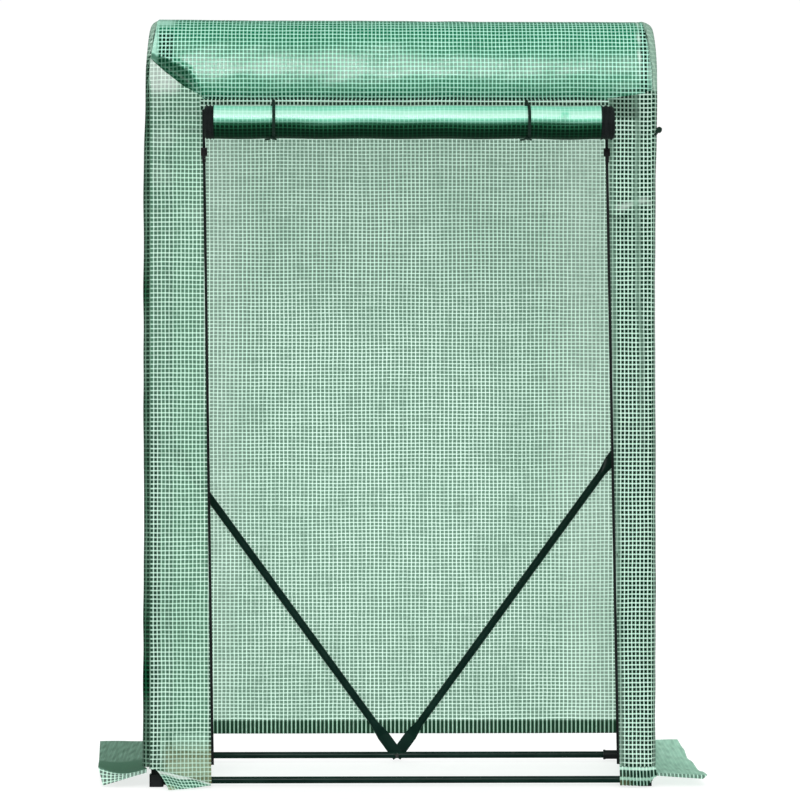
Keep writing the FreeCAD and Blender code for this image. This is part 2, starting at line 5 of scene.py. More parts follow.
import bpy
import numpy as np
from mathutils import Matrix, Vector


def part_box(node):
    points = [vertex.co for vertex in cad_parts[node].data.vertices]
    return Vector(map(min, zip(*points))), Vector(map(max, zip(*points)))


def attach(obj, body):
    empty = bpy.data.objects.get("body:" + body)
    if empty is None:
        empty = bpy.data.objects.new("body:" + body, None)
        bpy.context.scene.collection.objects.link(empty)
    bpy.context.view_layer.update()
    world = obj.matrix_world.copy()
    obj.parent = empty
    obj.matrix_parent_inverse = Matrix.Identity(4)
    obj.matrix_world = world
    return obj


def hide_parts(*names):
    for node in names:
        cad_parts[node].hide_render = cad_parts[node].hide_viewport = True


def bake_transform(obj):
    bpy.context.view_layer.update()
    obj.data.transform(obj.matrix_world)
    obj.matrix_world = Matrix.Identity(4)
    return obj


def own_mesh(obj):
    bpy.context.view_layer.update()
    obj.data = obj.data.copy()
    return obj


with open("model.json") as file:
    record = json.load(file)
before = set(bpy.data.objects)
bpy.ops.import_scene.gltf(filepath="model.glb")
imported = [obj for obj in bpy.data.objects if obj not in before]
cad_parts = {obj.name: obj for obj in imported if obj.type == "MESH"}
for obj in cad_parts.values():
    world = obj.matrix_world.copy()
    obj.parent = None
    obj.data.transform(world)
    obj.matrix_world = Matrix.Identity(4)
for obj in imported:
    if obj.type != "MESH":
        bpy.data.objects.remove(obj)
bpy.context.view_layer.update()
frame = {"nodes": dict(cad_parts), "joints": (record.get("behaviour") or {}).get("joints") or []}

# ---------------------------------------------------------------- sizes read from the frame, in metres

ROOF_LOW, ROOF_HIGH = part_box("cover_roof")
FRONT, REAR = ROOF_LOW.y, ROOF_HIGH.y
MIDDLE = (FRONT + REAR) / 2
HALF_DEPTH = (REAR - FRONT) / 2
SIDE = ROOF_HIGH.x
HEM, TOP = ROOF_LOW.z, ROOF_HIGH.z
REAR_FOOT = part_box("cover_rear_wall")[0].z
SIDE_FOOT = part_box("cover_side_wall_left")[0].z
STRIP_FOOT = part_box("cover_front_strip_left")[0].z
# How far in from the CAD walls' outer faces the sheets lie.
SKIN = 0.0006

# The roof's arch, as the hoops are bent: radii and the angles that its arcs end at.
HAUNCH_RADIUS, HAUNCH_END = 0.300, math.radians(26)
SHOULDER_RADIUS, SHOULDER_END = 0.060, math.radians(80)
CROWN_FLAT = 0.034

# The cloth: spacing of its threads across and along its length, and their widths.
ACROSS, ALONG = 0.0076, 0.00865
THREAD_ACROSS, THREAD_ALONG = 0.0022, 0.0025
# Numbers painted on the sheets' points: painted shade with doubling, and below 0 a painted highlight; dark
# cells of painted shade and doubled hems; plain film; and a brown tint.
PAINTED = ("deep", "clear", "plain", "warm")


# ---------------------------------------------------------------- camera, floor and light

CAMERA_PLACE = Vector((-0.113, -6.71, 0.756))
CAMERA_TURN = math.radians(-0.979)
LENS, SENSOR = 149.8, 36.0

# How bright the surroundings are to the camera, as light on matt surfaces and in reflections.
WHITE, WORLD_LIGHT, WORLD_GLINT = 1.02, 0.55, 0.08
FLOOR_GLOW = 0.72


def make_camera():
    """Level camera, far off and slightly left of the middle, as in the photograph."""
    data = bpy.data.cameras.new("camera")
    data.lens, data.sensor_width = LENS, SENSOR
    camera = bpy.data.objects.new("camera", data)
    bpy.context.scene.collection.objects.link(camera)
    camera.location = CAMERA_PLACE
    camera.rotation_euler = (math.pi / 2, 0, CAMERA_TURN)
    bpy.context.scene.camera = camera


def sun(name, azimuth, elevation, strength, spread, glints=False):
    """Soft sun from an azimuth measured from straight in front, in degrees."""
    data = bpy.data.lights.new(name, "SUN")
    data.energy, data.angle = strength, math.radians(spread)
    lamp = bpy.data.objects.new(name, data)
    lamp.visible_glossy = glints
    bpy.context.scene.collection.objects.link(lamp)
    a, e = math.radians(azimuth), math.radians(elevation)
    towards = Vector((math.sin(a) * math.cos(e), -math.cos(a) * math.cos(e), math.sin(e)))
    lamp.rotation_euler = towards.to_track_quat("Z", "Y").to_euler()


def make_studio():
    """Pale floor, even pale surroundings and four soft suns."""
    scene = bpy.context.scene
    scene.view_settings.view_transform = "Standard"
    world = bpy.data.worlds.new("studio")
    scene.world = world
    world.use_nodes = True
    tree = world.node_tree
    tree.nodes.clear()
    path = tree.nodes.new("ShaderNodeLightPath")
    shown = None
    rays = {"Is Diffuse Ray": WORLD_LIGHT, "Is Glossy Ray": WORLD_GLINT, "Is Camera Ray": WHITE}
    for ray, strength in rays.items():
        sky = tree.nodes.new("ShaderNodeBackground")
        sky.inputs["Color"].default_value = (1.0, 1.0, 1.0, 1)
        sky.inputs["Strength"].default_value = strength
        if shown is not None:
            pick = tree.nodes.new("ShaderNodeMixShader")
            tree.links.new(path.outputs[ray], pick.inputs[0])
            tree.links.new(shown, pick.inputs[1])
            tree.links.new(sky.outputs[0], pick.inputs[2])
            sky = pick
        shown = sky.outputs[0]
    tree.links.new(shown, tree.nodes.new("ShaderNodeOutputWorld").inputs[0])
    sun("key", -4, 32, 1.05, 16, glints=True)
    sun("fill", 10, 8, 1.35, 50)
    sun("top", 30, 75, 0.5, 60)
    sun("back", 190, 35, 1.9, 40)
    bpy.ops.mesh.primitive_plane_add(size=60, location=(0, 0, -0.0004))
    floor = bpy.context.object
    floor.name = "floor"
    floor.visible_glossy = False
    g = Graph("floor")
    matt = g.principled((0.35, 0.35, 0.35), rough=0.9, specular=0.0)
    lit = g.node("ShaderNodeEmission", {"Color": (1.0, 1.0, 1.0), "Strength": FLOOR_GLOW}).outputs[0]
    g.finish(g.node("ShaderNodeAddShader", {0: matt, 1: lit}).outputs[0])
    floor.data.materials.append(g.material)


# ---------------------------------------------------------------- materials


class Graph:
    """A material's nodes, with short ways to add them. A value is a number, a colour or a node's output."""

    def __init__(self, name):
        self.material = bpy.data.materials.new(name)
        self.material.use_nodes = True
        self.tree = self.material.node_tree
        self.tree.nodes.clear()

    def feed(self, socket, value):
        if isinstance(value, bpy.types.NodeSocket):
            self.tree.links.new(value, socket)
        elif hasattr(value, "__len__") and len(value) == 3 and socket.type == "RGBA":
            socket.default_value = (*value, 1)
        else:
            socket.default_value = value

    def node(self, kind, feeds=(), **settings):
        made = self.tree.nodes.new(kind)
        for name, value in settings.items():
            setattr(made, name, value)
        for name, value in dict(feeds).items():
            self.feed(made.inputs[name], value)
        return made

    def maths(self, operation, *values):
        feeds = dict(enumerate(values))
        return self.node("ShaderNodeMath", feeds, operation=operation).outputs[0]

    def blend(self, share, first, second, mode="MIX"):
        """Colours mixed by share."""
        made = self.node("ShaderNodeMix", data_type="RGBA", blend_type=mode)
        for i, value in ((0, share), (6, first), (7, second)):
            self.feed(made.inputs[i], value)
        return made.outputs[2]

    def between(self, share, first, second):
        """Numbers mixed by share."""
        made = self.node("ShaderNodeMix", data_type="FLOAT")
        for i, value in ((0, share), (2, first), (3, second)):
            self.feed(made.inputs[i], value)
        return made.outputs[0]

    def painted(self, name):
        """A number stored on the mesh's points."""
        return self.node("ShaderNodeAttribute", attribute_name=name).outputs["Fac"]

    def noise(self, scale, detail=2.0, where=None):
        feeds = {"Scale": scale, "Detail": detail}
        if where is not None:
            feeds["Vector"] = where
        return self.node("ShaderNodeTexNoise", feeds).outputs[0]

    def step(self, value, low, high):
        """0 below low and 1 above high; low may be the larger."""
        feeds = {"Value": value, "From Min": low, "From Max": high}
        return self.node("ShaderNodeMapRange", feeds, interpolation_type="SMOOTHSTEP").outputs[0]

    def bump(self, height, distance):
        feeds = {"Height": height, "Distance": distance, "Strength": 1.0}
        return self.node("ShaderNodeBump", feeds).outputs[0]

    def principled(self, base, rough, specular=0.5, metallic=0.0, normal=None):
        feeds = {"Base Color": base, "Roughness": rough, "Specular IOR Level": specular, "Metallic": metallic}
        if normal is not None:
            feeds["Normal"] = normal
        return self.node("ShaderNodeBsdfPrincipled", feeds).outputs[0]

    def moved(self, operation, *values, **feeds):
        """A vector worked out from others."""
        feeds.update(enumerate(values))
        return self.node("ShaderNodeVectorMath", feeds, operation=operation).outputs[0]

    def shaders(self, share, first, second):
        return self.node("ShaderNodeMixShader", {0: share, 1: first, 2: second}).outputs[0]

    def finish(self, shader):
        self.node("ShaderNodeOutputMaterial", {"Surface": shader})
        return self.material


# Colours that the painted numbers blend towards: dark cells, which are painted shade of the dark inside; a
# brown tint; and a painted highlight.
DARK_GREEN = (0.001, 0.018, 0.008)
BROWN_TINT = (0.30, 0.30, 0.15)
HIGHLIGHT_COLOUR = (0.80, 0.90, 0.84)


def grid_film(name, cell=(0.055, 0.170, 0.105), thread=(0.53, 0.78, 0.64), cross=(0.75, 0.98, 0.86),
              open_cell=0.55, turned=False, rough=0.36, glow=0.25, specular=0.5, crinkle=0.5):
    """Green film over a grid of light threads. The mesh's cloth UVs are in metres. Its points carry four
    painted numbers.
    The first darkens a doubled place and is painted shade in folds, undersides and bands turned from the
    light; below 0 it pales the film as a painted highlight. The second shows dark cells, painted shade of the
    dark inside seen through the film, and doubled hems; the third hides the threads; and the fourth tints the
    film brown at the left strip's foot, a painted reflection of the ground, and at the front flaps' feet."""
    g = Graph(name)
    cloth = g.node("ShaderNodeUVMap", uv_map="cloth").outputs[0]
    placed = cloth
    for scale, reach in ((5.0, 0.0040), (45.0, 0.0013)):
        feeds = {"Vector": cloth, "Scale": scale, "Detail": 1.0}
        wander = g.node("ShaderNodeTexNoise", feeds).outputs["Color"]
        nudge = g.moved("SCALE", g.moved("SUBTRACT", wander, (0.5, 0.5, 0.5)), Scale=reach)
        placed = g.moved("ADD", placed, nudge)
    split = g.node("ShaderNodeSeparateXYZ", {0: placed})
    sizes = [(ACROSS, THREAD_ACROSS), (ALONG, THREAD_ALONG)]
    if turned:
        sizes.reverse()
    bands = []
    for axis, (pitch, width), stretch in zip("XY", sizes, ((1.0, 0.08, 1.0), (0.08, 1.0, 1.0))):
        turn = g.maths("FRACT", g.maths("DIVIDE", split.outputs[axis], pitch))
        away = g.maths("ABSOLUTE", g.maths("SUBTRACT", turn, 0.5))
        edge = width / 2 / pitch
        band = g.step(away, edge + 0.06, edge - 0.06)
        along = g.moved("MULTIPLY", placed, stretch)
        uneven = g.step(g.noise(1.1 / pitch, 1.0, along), 0.25, 0.55)
        bands.append(g.maths("MULTIPLY", band, g.between(uneven, 0.62, 1.0)))
    deep, clear, plain, warm = (g.painted(label) for label in PAINTED)
    shown = g.maths("SUBTRACT", 1.0, plain)
    woven = g.maths("MULTIPLY", g.maths("MAXIMUM", *bands), shown)
    crossed = g.maths("MULTIPLY", g.maths("MULTIPLY", *bands), shown)
    # Painted shade, with doubling, darkens the colour; below 0 a painted highlight pales it.
    shade_and_doubling = g.maths("MAXIMUM", deep, 0.0)
    painted_light = g.maths("MAXIMUM", g.maths("MULTIPLY", deep, -1.0), 0.0)
    # Dark cells, painted shade of the dark inside and doubled hems, then the brown tint.
    film = g.blend(clear, g.blend(plain, cell, thread), DARK_GREEN)
    film = g.blend(warm, film, BROWN_TINT)
    colour = g.blend(woven, film, thread)
    colour = g.blend(crossed, colour, cross)
    # Threads a little paler over the painted dark cells.
    lift = g.maths("MULTIPLY", g.maths("MULTIPLY", clear, woven), 0.2)
    colour = g.blend(lift, colour, cross)
    colour = g.blend(g.maths("MULTIPLY", warm, 0.35), colour, BROWN_TINT)
    cloud = g.noise(5.0, 4.0, cloth)
    colour = g.blend(g.step(cloud, 0.35, 0.7), colour, g.blend(1.0, colour, (0.88, 0.92, 0.90), "MULTIPLY"))
    # The painted highlight, then the painted shade.
    colour = g.blend(painted_light, colour, HIGHLIGHT_COLOUR)
    shaded = g.blend(1.0, colour, (0.022, 0.105, 0.058), "MULTIPLY")
    colour = g.blend(shade_and_doubling, colour, shaded)
    height = g.maths("ADD", g.maths("MULTIPLY", woven, 0.7), g.maths("MULTIPLY", crossed, 0.3))
    height = g.maths("ADD", height, g.maths("MULTIPLY", g.noise(160.0, 3.0, cloth), crinkle))
    normal = g.bump(height, 0.0005)
    dull = g.maths("MAXIMUM", shade_and_doubling, g.maths("MULTIPLY", clear, g.maths("SUBTRACT", 1.0, woven)))
    shine = g.maths("MULTIPLY_ADD", dull, -0.95 * specular, specular)
    surface = g.principled(colour, rough, shine, normal=normal)
    through = g.node("ShaderNodeBsdfTranslucent", {"Color": colour, "Normal": normal}).outputs[0]
    body = g.shaders(glow, surface, through)
    hole = g.node("ShaderNodeBsdfTransparent", {"Color": (0.36, 0.55, 0.44)}).outputs[0]
    solid = g.between(woven, g.between(clear, open_cell, 0.97), 0.94)
    solid = g.maths("MAXIMUM", solid, g.maths("MULTIPLY", g.maths("ABSOLUTE", deep), 0.95))
    return g.finish(g.shaders(solid, hole, body))


def mottled(name, colour, other, rough, scale=300.0, metallic=0.0, grain=0.0002, specular=0.5):
    """Plain finish whose colour and surface vary a little, as moulded plastic, powder coat and plating do."""
    g = Graph(name)
    where = g.node("ShaderNodeTexCoord").outputs["Object"]
    patches = g.noise(18.0, 4.0, where)
    grains = g.noise(scale, 2.0, where)
    tone = g.blend(g.step(patches, 0.3, 0.7), colour, other)
    gloss = g.between(patches, rough - 0.06, rough + 0.08)
    return g.finish(g.principled(tone, gloss, specular, metallic, g.bump(grains, grain)))


def woven_tape(name, colour, other, pitch=0.0011):
    """Close-woven tape: fine ribs across cloth UVs in metres."""
    g = Graph(name)
    cloth = g.node("ShaderNodeUVMap", uv_map="cloth").outputs[0]
    split = g.node("ShaderNodeSeparateXYZ", {0: cloth})
    slant = g.maths("ADD", split.outputs["X"], split.outputs["Y"])
    rib = g.maths("SINE", g.maths("MULTIPLY", slant, 2 * math.pi / pitch))
    rib = g.step(rib, -1.0, 1.0)
    tone = g.blend(rib, colour, other)
    patches = g.noise(60.0, 3.0, cloth)
    tone = g.blend(g.step(patches, 0.4, 0.8), tone, other)
    return g.finish(g.principled(tone, 0.6, 0.2, normal=g.bump(rib, 0.00025)))


MATERIALS = {}


def make_materials():
    MATERIALS.update(
        wall=grid_film("wall_film", turned=True, cell=(0.020, 0.090, 0.045), thread=(0.62, 0.86, 0.73),
                       cross=(0.82, 1.0, 0.91), open_cell=0.67, glow=0.50),
        side=grid_film("side_film"),
        strip=grid_film("strip_film", open_cell=0.68, cell=(0.080, 0.215, 0.135)),
        roof=grid_film("roof_film", cell=(0.004, 0.145, 0.066), thread=(0.34, 0.70, 0.54),
                       cross=(0.50, 0.92, 0.75), open_cell=0.95, rough=0.22, glow=0.08, specular=0.55,
                       crinkle=0.2),
        roll=grid_film("roll_film", cell=(0.15, 0.59, 0.39), thread=(0.31, 0.75, 0.56),
                       cross=(0.40, 0.86, 0.68), open_cell=0.98, turned=True, rough=0.31, glow=0.0,
                       specular=1.0, crinkle=0.2),
        flap=grid_film("flap_film", open_cell=0.8, cell=(0.030, 0.165, 0.100), thread=(0.46, 0.80, 0.63)),
        tape=woven_tape("zip_tape_black", (0.004, 0.006, 0.006), (0.012, 0.016, 0.016)),
        tie=woven_tape("tie_tape_green", (0.004, 0.014, 0.009), (0.010, 0.030, 0.020)),
        coil=mottled("zip_coil_black", (0.003, 0.004, 0.004), (0.008, 0.010, 0.010), 0.45, specular=0.15),
        thread=mottled("sewing_thread", (0.48, 0.78, 0.66), (0.70, 0.92, 0.82), 0.55),
        steel=mottled("green_powder_coat", (0.001, 0.012, 0.008), (0.003, 0.019, 0.013), 0.32, scale=900.0,
                      grain=0.00008, specular=0.2),
        plastic=mottled("black_plastic", (0.004, 0.006, 0.006), (0.010, 0.012, 0.013), 0.45, scale=700.0,
                        specular=0.3),
        zinc=mottled("zinc_plate", (0.10, 0.12, 0.11), (0.22, 0.24, 0.23), 0.42, scale=500.0, metallic=1.0),
        slider=mottled("black_lacquer", (0.008, 0.008, 0.009), (0.015, 0.015, 0.016), 0.25, scale=600.0,
                       metallic=0.4),
    )


def dress_frame():
    """Materials for the CAD nodes that stay in view."""
    kinds = {"steel": ("post_", "rail_", "roof_hoop", "brace_left", "brace_right"),
             "plastic": ("foot_connector", "eave_connector", "ridge_connector"),
             "zinc": ("brace_bolts", "brace_nuts"),
             "slider": ("zip_slider", "zip_pull")}
    for kind, starts in kinds.items():
        for name, thing in frame["nodes"].items():
            if name.startswith(starts):
                thing.data.materials.clear()
                thing.data.materials.append(MATERIALS[kind])


# ---------------------------------------------------------------- mesh helpers


def new_object(name, mesh, material):
    """Object in the scene with one material."""
    made = bpy.data.objects.new(name, mesh)
    bpy.context.scene.collection.objects.link(made)
    mesh.materials.append(MATERIALS[material])
    return made


def grid_sheet(name, points, cloth, material, slot="grid_film", **paint):
    """Sheet through a grid of points, with its cloth coordinates in metres and its points' paint."""
    rows, columns = points.shape[:2]
    index = np.arange(rows * columns).reshape(rows, columns)
    quads = np.stack([index[:-1, :-1], index[:-1, 1:], index[1:, 1:], index[1:, :-1]], axis=-1).reshape(-1, 4)
    mesh = bpy.data.meshes.new(name)
    mesh.from_pydata(points.reshape(-1, 3).tolist(), [], quads.tolist())
    layer = mesh.uv_layers.new(name="cloth")
    layer.data.foreach_set("uv", cloth.reshape(-1, 2)[quads.ravel()].astype(np.float32).ravel())
    for label in PAINTED:
        painted = np.broadcast_to(paint.get(label, 0.0), (rows, columns)).ravel()
        mesh.attributes.new(label, "FLOAT", "POINT").data.foreach_set("value", painted.astype(np.float32))
    mesh.polygons.foreach_set("use_smooth", [True] * len(mesh.polygons))
    mesh.update()
    return new_object(name, mesh, material)


def grid_of(*values):
    """Coordinates as one grid, each spread over the rows and columns of the others."""
    return np.stack(np.broadcast_arrays(*values), axis=-1)


def facing(sign, *grids):
    """Grids with their columns turned round on the right, so that each sheet's outer side is its front."""
    return [grid[:, ::-1] if sign > 0 else grid for grid in grids]


def mirrored(sign, paint):
    """What is painted on a sheet, turned round with its columns."""
    return {label: facing(sign, values)[0] for label, values in paint.items()}


def ripple(seed, u, v, length, count=10):
    """Random gentle waves of about that wavelength, mostly from -1 to 1."""
    draw = np.random.default_rng(seed)
    total = np.zeros(np.broadcast(u, v).shape)
    for _ in range(count):
        angle, wave = draw.uniform(0, math.pi), length * draw.uniform(0.6, 1.7)
        phase = draw.uniform(0, 2 * math.pi)
        total += np.sin(2 * math.pi * (u * math.cos(angle) + v * math.sin(angle)) / wave + phase)
    return total / math.sqrt(count)


def mid_cell(place, pitch):
    """The nearest place to this one that lies midway between two threads."""
    return round(place / pitch) * pitch


def ramp(value, low, high):
    """Smooth step from 0 at low to 1 at high; low may be the larger."""
    t = np.clip((np.asarray(value, float) - low) / (high - low), 0, 1)
    return t * t * (3 - 2 * t)


def distance_along(line):
    """Distance along a line of points to each of them."""
    return np.concatenate([[0], np.cumsum(np.linalg.norm(np.diff(line, axis=0), axis=1))])


def bell(value, middle, width):
    """1 where the value is at the middle, fading to nothing about two widths away."""
    return np.exp(-((value - middle) / width) ** 2)


def tube_along(name, route, radius, material):
    """Round tube along a list of points, closed at its ends."""
    curve = bpy.data.curves.new(name, "CURVE")
    curve.dimensions, curve.bevel_depth, curve.bevel_resolution = "3D", radius, 2
    curve.use_fill_caps = True
    spline = curve.splines.new("NURBS")
    spline.points.add(len(route) - 1)
    for point, spot in zip(spline.points, route):
        point.co = (*spot, 1)
    spline.order_u, spline.use_endpoint_u = 3, True
    carrier = bpy.data.objects.new(name, curve)
    mesh = bpy.data.meshes.new_from_object(carrier)
    bpy.data.objects.remove(carrier)
    mesh.polygons.foreach_set("use_smooth", [True] * len(mesh.polygons))
    mesh.name = name
    return new_object(name, mesh, material)


def joined(name, parts):
    """One object of several, with the first one's material slots kept."""
    bpy.ops.object.select_all(action="DESELECT")
    for part in parts:
        part.select_set(True)
    bpy.context.view_layer.objects.active = parts[0]
    bpy.ops.object.join()
    parts[0].name = name
    return parts[0]


# ---------------------------------------------------------------- the cover's outline


def roof_path(step=0.006):
    """Points (y from the middle, z) over the roof from front hem to rear hem, and the way out at each."""
    haunch, shoulder = HAUNCH_END, SHOULDER_END
    r1, r2 = HAUNCH_RADIUS, SHOULDER_RADIUS
    x2, z2 = r1 - (r1 - r2) * math.cos(haunch), (r1 - r2) * math.sin(haunch)
    x3 = HALF_DEPTH - CROWN_FLAT
    r3 = r2 + (x3 - x2) / math.cos(shoulder)
    z3 = z2 + (r2 - r3) * math.sin(shoulder)
    springing = TOP - z3 - r3
    front = [(-HALF_DEPTH, z, 0.0) for z in (HEM, springing)]
    for radius, x, z, start, stop in ((r1, r1, 0, 0, haunch), (r2, x2, z2, haunch, shoulder),
                                      (r3, x3, z3, shoulder, math.pi / 2)):
        count = max(2, math.ceil(radius * (stop - start) / step))
        for angle in np.linspace(start, stop, count + 1)[1:]:
            y = -(HALF_DEPTH - x + radius * math.cos(angle))
            front.append((y, springing + z + radius * math.sin(angle), angle))
    flat = [(y, TOP, math.pi / 2) for y in np.linspace(-CROWN_FLAT, CROWN_FLAT, 12)[1:-1]]
    rear = [(-y, z, math.pi - angle) for y, z, angle in reversed(front)]
    path = np.array(front + flat + rear)
    outward = np.stack([-np.cos(path[:, 2]), np.sin(path[:, 2])], axis=1)
    places = path[:, :2]
    return places, outward, distance_along(places)


PATH, OUTWARD, RUN = roof_path()
FRONT_ROWS = int(np.argmax(PATH[:, 0] > 0))


def on_roof(run):
    """Place (y, z) and way out at a distance over the roof from the front hem."""
    spot = np.stack([np.interp(run, RUN, PATH[:, i]) for i in (0, 1)], axis=-1)
    way = np.stack([np.interp(run, RUN, OUTWARD[:, i]) for i in (0, 1)], axis=-1)
    return spot, way / np.linalg.norm(way, axis=-1, keepdims=True)


def run_at(height):
    """Distance over the roof at which its front reaches a height."""
    return np.interp(height, PATH[:FRONT_ROWS, 1], RUN[:FRONT_ROWS])


def gable_x(z, sign=0):
    """How far out an end panel stands at a height: nearly upright, then leaning in near the top."""
    z = np.asarray(z, float)
    lean = np.clip((z - 1.40) / 0.11, 0, 1.25) ** 1.4
    slack = 0.0045 * ramp(z, 1.36, 1.15) if sign < 0 else 0.0045 * ramp(z, 1.15, 1.34)
    return SIDE - 0.0010 - (0.0075 if sign < 1 else 0.0060) * lean + slack * (sign != 0)


def seam_x(z):
    """X of the seam where the roof, the strips and the rear wall meet the end panels."""
    return gable_x(z) - 0.0085 - 0.006 * ramp(z, 1.40, 1.50)


# The fold at the front left corner of the roof: its lower and upper lines as (x, z).
FOLD_LOW = ((-0.500, 1.432), (-0.4942, 1.427), (-0.460, 1.396), (-0.4255, 1.369), (-0.3825, 1.346))
FOLD_HIGH = ((-0.500, 1.438), (-0.470, 1.428), (-0.432, 1.411), (-0.414, 1.400), (-0.392, 1.368),
             (-0.3825, 1.347))
# The seam between the roof and the right strip.
SEAM_RIGHT = ((0.389, 1.340), (0.4186, 1.3517), (0.500, 1.3625))
PIPING_Z = 1.3412


def line_at(line, x):
    """Height of a line of (x, z) points at x."""
    spots = np.array(line)
    return np.interp(x, spots[:, 0], spots[:, 1])


def roof_foot(x):
    """Height at which the roof's front edge ends at x."""
    x = np.asarray(x, float)
    middle = np.full(x.shape, HEM)
    left = np.where(x < FOLD_LOW[-1][0], line_at(FOLD_LOW, x) - 0.006, middle)
    return np.where(x > SEAM_RIGHT[0][0], line_at(SEAM_RIGHT, x) - 0.005, left)


def make_roof():
    """Roof panel from the front seam over the hoops to the rear seam, with its corner fold."""
    columns = np.linspace(-1, 1, 190)
    crown = RUN[-1] / 2
    start = run_at(roof_foot(columns * SIDE))
    fore = start + np.linspace(0, 1, 80)[:, None] * (crown - start)
    aft = crown + np.linspace(0, 1, 70)[1:, None] * (RUN[-1] - crown) * np.ones_like(columns)
    run = np.concatenate([fore, aft])
    spot, way = on_roof(run)
    z = spot[..., 1]
    x = columns * seam_x(z)
    fore_half = run < crown
    low, high = line_at(FOLD_LOW, x), line_at(FOLD_HIGH, x)
    share = np.clip((z - low) / np.maximum(high - low, 1e-4), 0, 1)
    inside = fore_half * (x < FOLD_LOW[-1][0]) * (z < high)
    dip = inside * np.sin(math.pi * share) ** 0.7
    lip = fore_half * (x < -0.37) * bell(z, high, 0.006) * ramp(x, -0.37, -0.42)
    sag = (0.0030 - 0.0035 * (x + SIDE) - 0.0006 * (1 - (x / SIDE) ** 2)) * ramp(z, 1.43, 1.50)
    waves = 0.0005 * ripple(3, x * 0.25, run, 0.10) + 0.00025 * ripple(4, x * 0.35, run, 0.03)
    calm = ramp(np.abs(x), SIDE, SIDE - 0.05)
    off = -SKIN + sag + waves * calm - 0.007 * dip + 0.0022 * lip
    points = grid_of(x, MIDDLE + spot[..., 0] + way[..., 0] * off, z + way[..., 1] * off)
    # Painted shadow in the corner fold, and painted shade along the roof's lower front.
    deep = 0.80 * inside * ramp(x, -0.385, -0.425)
    deep = deep + 0.30 * fore_half * ramp(z, 1.392, 1.348)
    # Dark cells at both ends, painted shade of the dark inside; paler plain film at the ends and a paler line
    # along the right seam.
    end = ramp(x, -0.440, -0.450) * ramp(x, -0.4745, -0.4715) * ramp(z, 1.405, 1.425) * ramp(z, 1.482, 1.470)
    right = ramp(x, 0.4685, 0.4705) * ramp(z, 1.495, 1.480)
    seam = bell(x, 0.4672, 0.0016)
    plain = np.maximum(0.85 * ramp(x, -0.4745, -0.478), 0.5 * ramp(x, 0.4835, 0.4855))
    plain = np.maximum(plain, 0.7 * ramp(x, -0.435, -0.455) * ramp(z, 1.485, 1.495)) * fore_half
    clear = fore_half * np.maximum(end * (1 - inside), right) * (1 - plain)
    deep = deep - fore_half * (0.5 * seam * (z > 1.37) + 0.15 * plain)
    over_door = (x > -0.39) * (x < 0.4)
    clear = np.maximum(clear, fore_half * ramp(z, 1.3525, 1.3495) * ramp(z, 1.3435, 1.3455) * over_door)
    above = z - line_at(SEAM_RIGHT, x)
    over_seam = ramp(above, 0.0062, 0.0050) * ramp(above, 0.0005, 0.0015)
    clear = np.maximum(clear, fore_half * (x > 0.405) * over_seam)
    cloth = grid_of(x, run)
    return grid_sheet("cover_roof_panel", points, cloth, "roof", deep=deep, clear=clear, plain=plain)


def outline_distance(y, z):
    """Distance of points of an end panel from its outline, the foot apart."""
    arch = on_roof(np.arange(0, RUN[-1], 0.001))[0]
    best = HALF_DEPTH - np.abs(y.ravel())
    flat = np.stack([y.ravel(), z.ravel()], axis=1)
    for block in np.array_split(arch, 8):
        best = np.minimum(best, np.linalg.norm(flat[:, None] - block[None], axis=2).min(1))
    return best.reshape(y.shape)


EDGE_ROUND = 0.017


def make_side_panel(side, sign):
    """End panel with the roof's outline, rounded over the frame along its seams."""
    tops = [PATH[0]]
    for a, b in zip(PATH, PATH[1:]):
        if b[0] - a[0] > 0.004:
            tops.append(a + (b - a) / 2)
        tops.append(b)
    tops = np.array(tops)
    tops = tops[np.concatenate([[True], np.diff(tops[:, 0]) > 1e-5])]
    levels = np.concatenate([np.linspace(0, 0.93, 130), 1 - 0.07 * np.linspace(1, 0, 40)[1:] ** 1.5])
    y = np.broadcast_to(tops[None, :, 0], (len(levels), len(tops)))
    z = SIDE_FOOT + levels[:, None] * (tops[None, :, 1] - SIDE_FOOT)
    distance = np.minimum(outline_distance(y, z), EDGE_ROUND)
    fullness = np.sqrt(np.clip(1 - (1 - distance / EDGE_ROUND) ** 2, 0, 1))
    out = seam_x(z) + (gable_x(z, sign) - seam_x(z)) * fullness
    calm = ramp(distance, 0, EDGE_ROUND)
    seed = 11 if sign < 0 else 12
    waves = 0.0008 * ripple(seed, y, z, 0.45) + 0.0004 * ripple(seed + 20, y, z, 0.10)
    out = out + calm * (waves - 0.0015 * ramp(distance, 0.02, 0.2))
    points = grid_of(sign * out, MIDDLE + y * (1 - SKIN / HALF_DEPTH), z)
    # Painted shade over the rounded front edge, randomly varied, with dark cells of the dark inside; the
    # rounded upper edge is paler and plain; on the left, crumpled cells there are painted dark as shade.
    front = ramp(y, -HALF_DEPTH + 0.03, -HALF_DEPTH + 0.012)
    turn = 1.425 if sign < 0 else 1.36
    upper = ramp(z, turn - 0.006, turn + 0.006)
    edge = upper * ramp(distance, EDGE_ROUND, 0.006)
    light = 0.5 + 0.5 * ripple(seed + 40, y, z, 0.12)
    if sign < 0:
        crumple_shade = edge * ramp(z, 1.475, 1.465) * ramp(ripple(seed + 50, y * 2, z, 0.012), 0.0, 0.4)
        paint = {"deep": front * (1 - upper) * (0.97 - 0.25 * light) - 0.15 * edge * (1 - crumple_shade),
                 "clear": np.maximum(0.8 * front * (1 - upper), crumple_shade),
                 "plain": 0.65 * edge * (1 - crumple_shade)}
    else:
        paint = {"deep": 0.30 * front * (1 - upper) - 0.14 * edge, "clear": 0.9 * front * (1 - upper),
                 "plain": 0.65 * edge}
    cloth = grid_of(y, z)
    grids = facing(sign, points, cloth)
    return grid_sheet(f"cover_side_panel_{side}", *grids, "side", **mirrored(sign, paint))


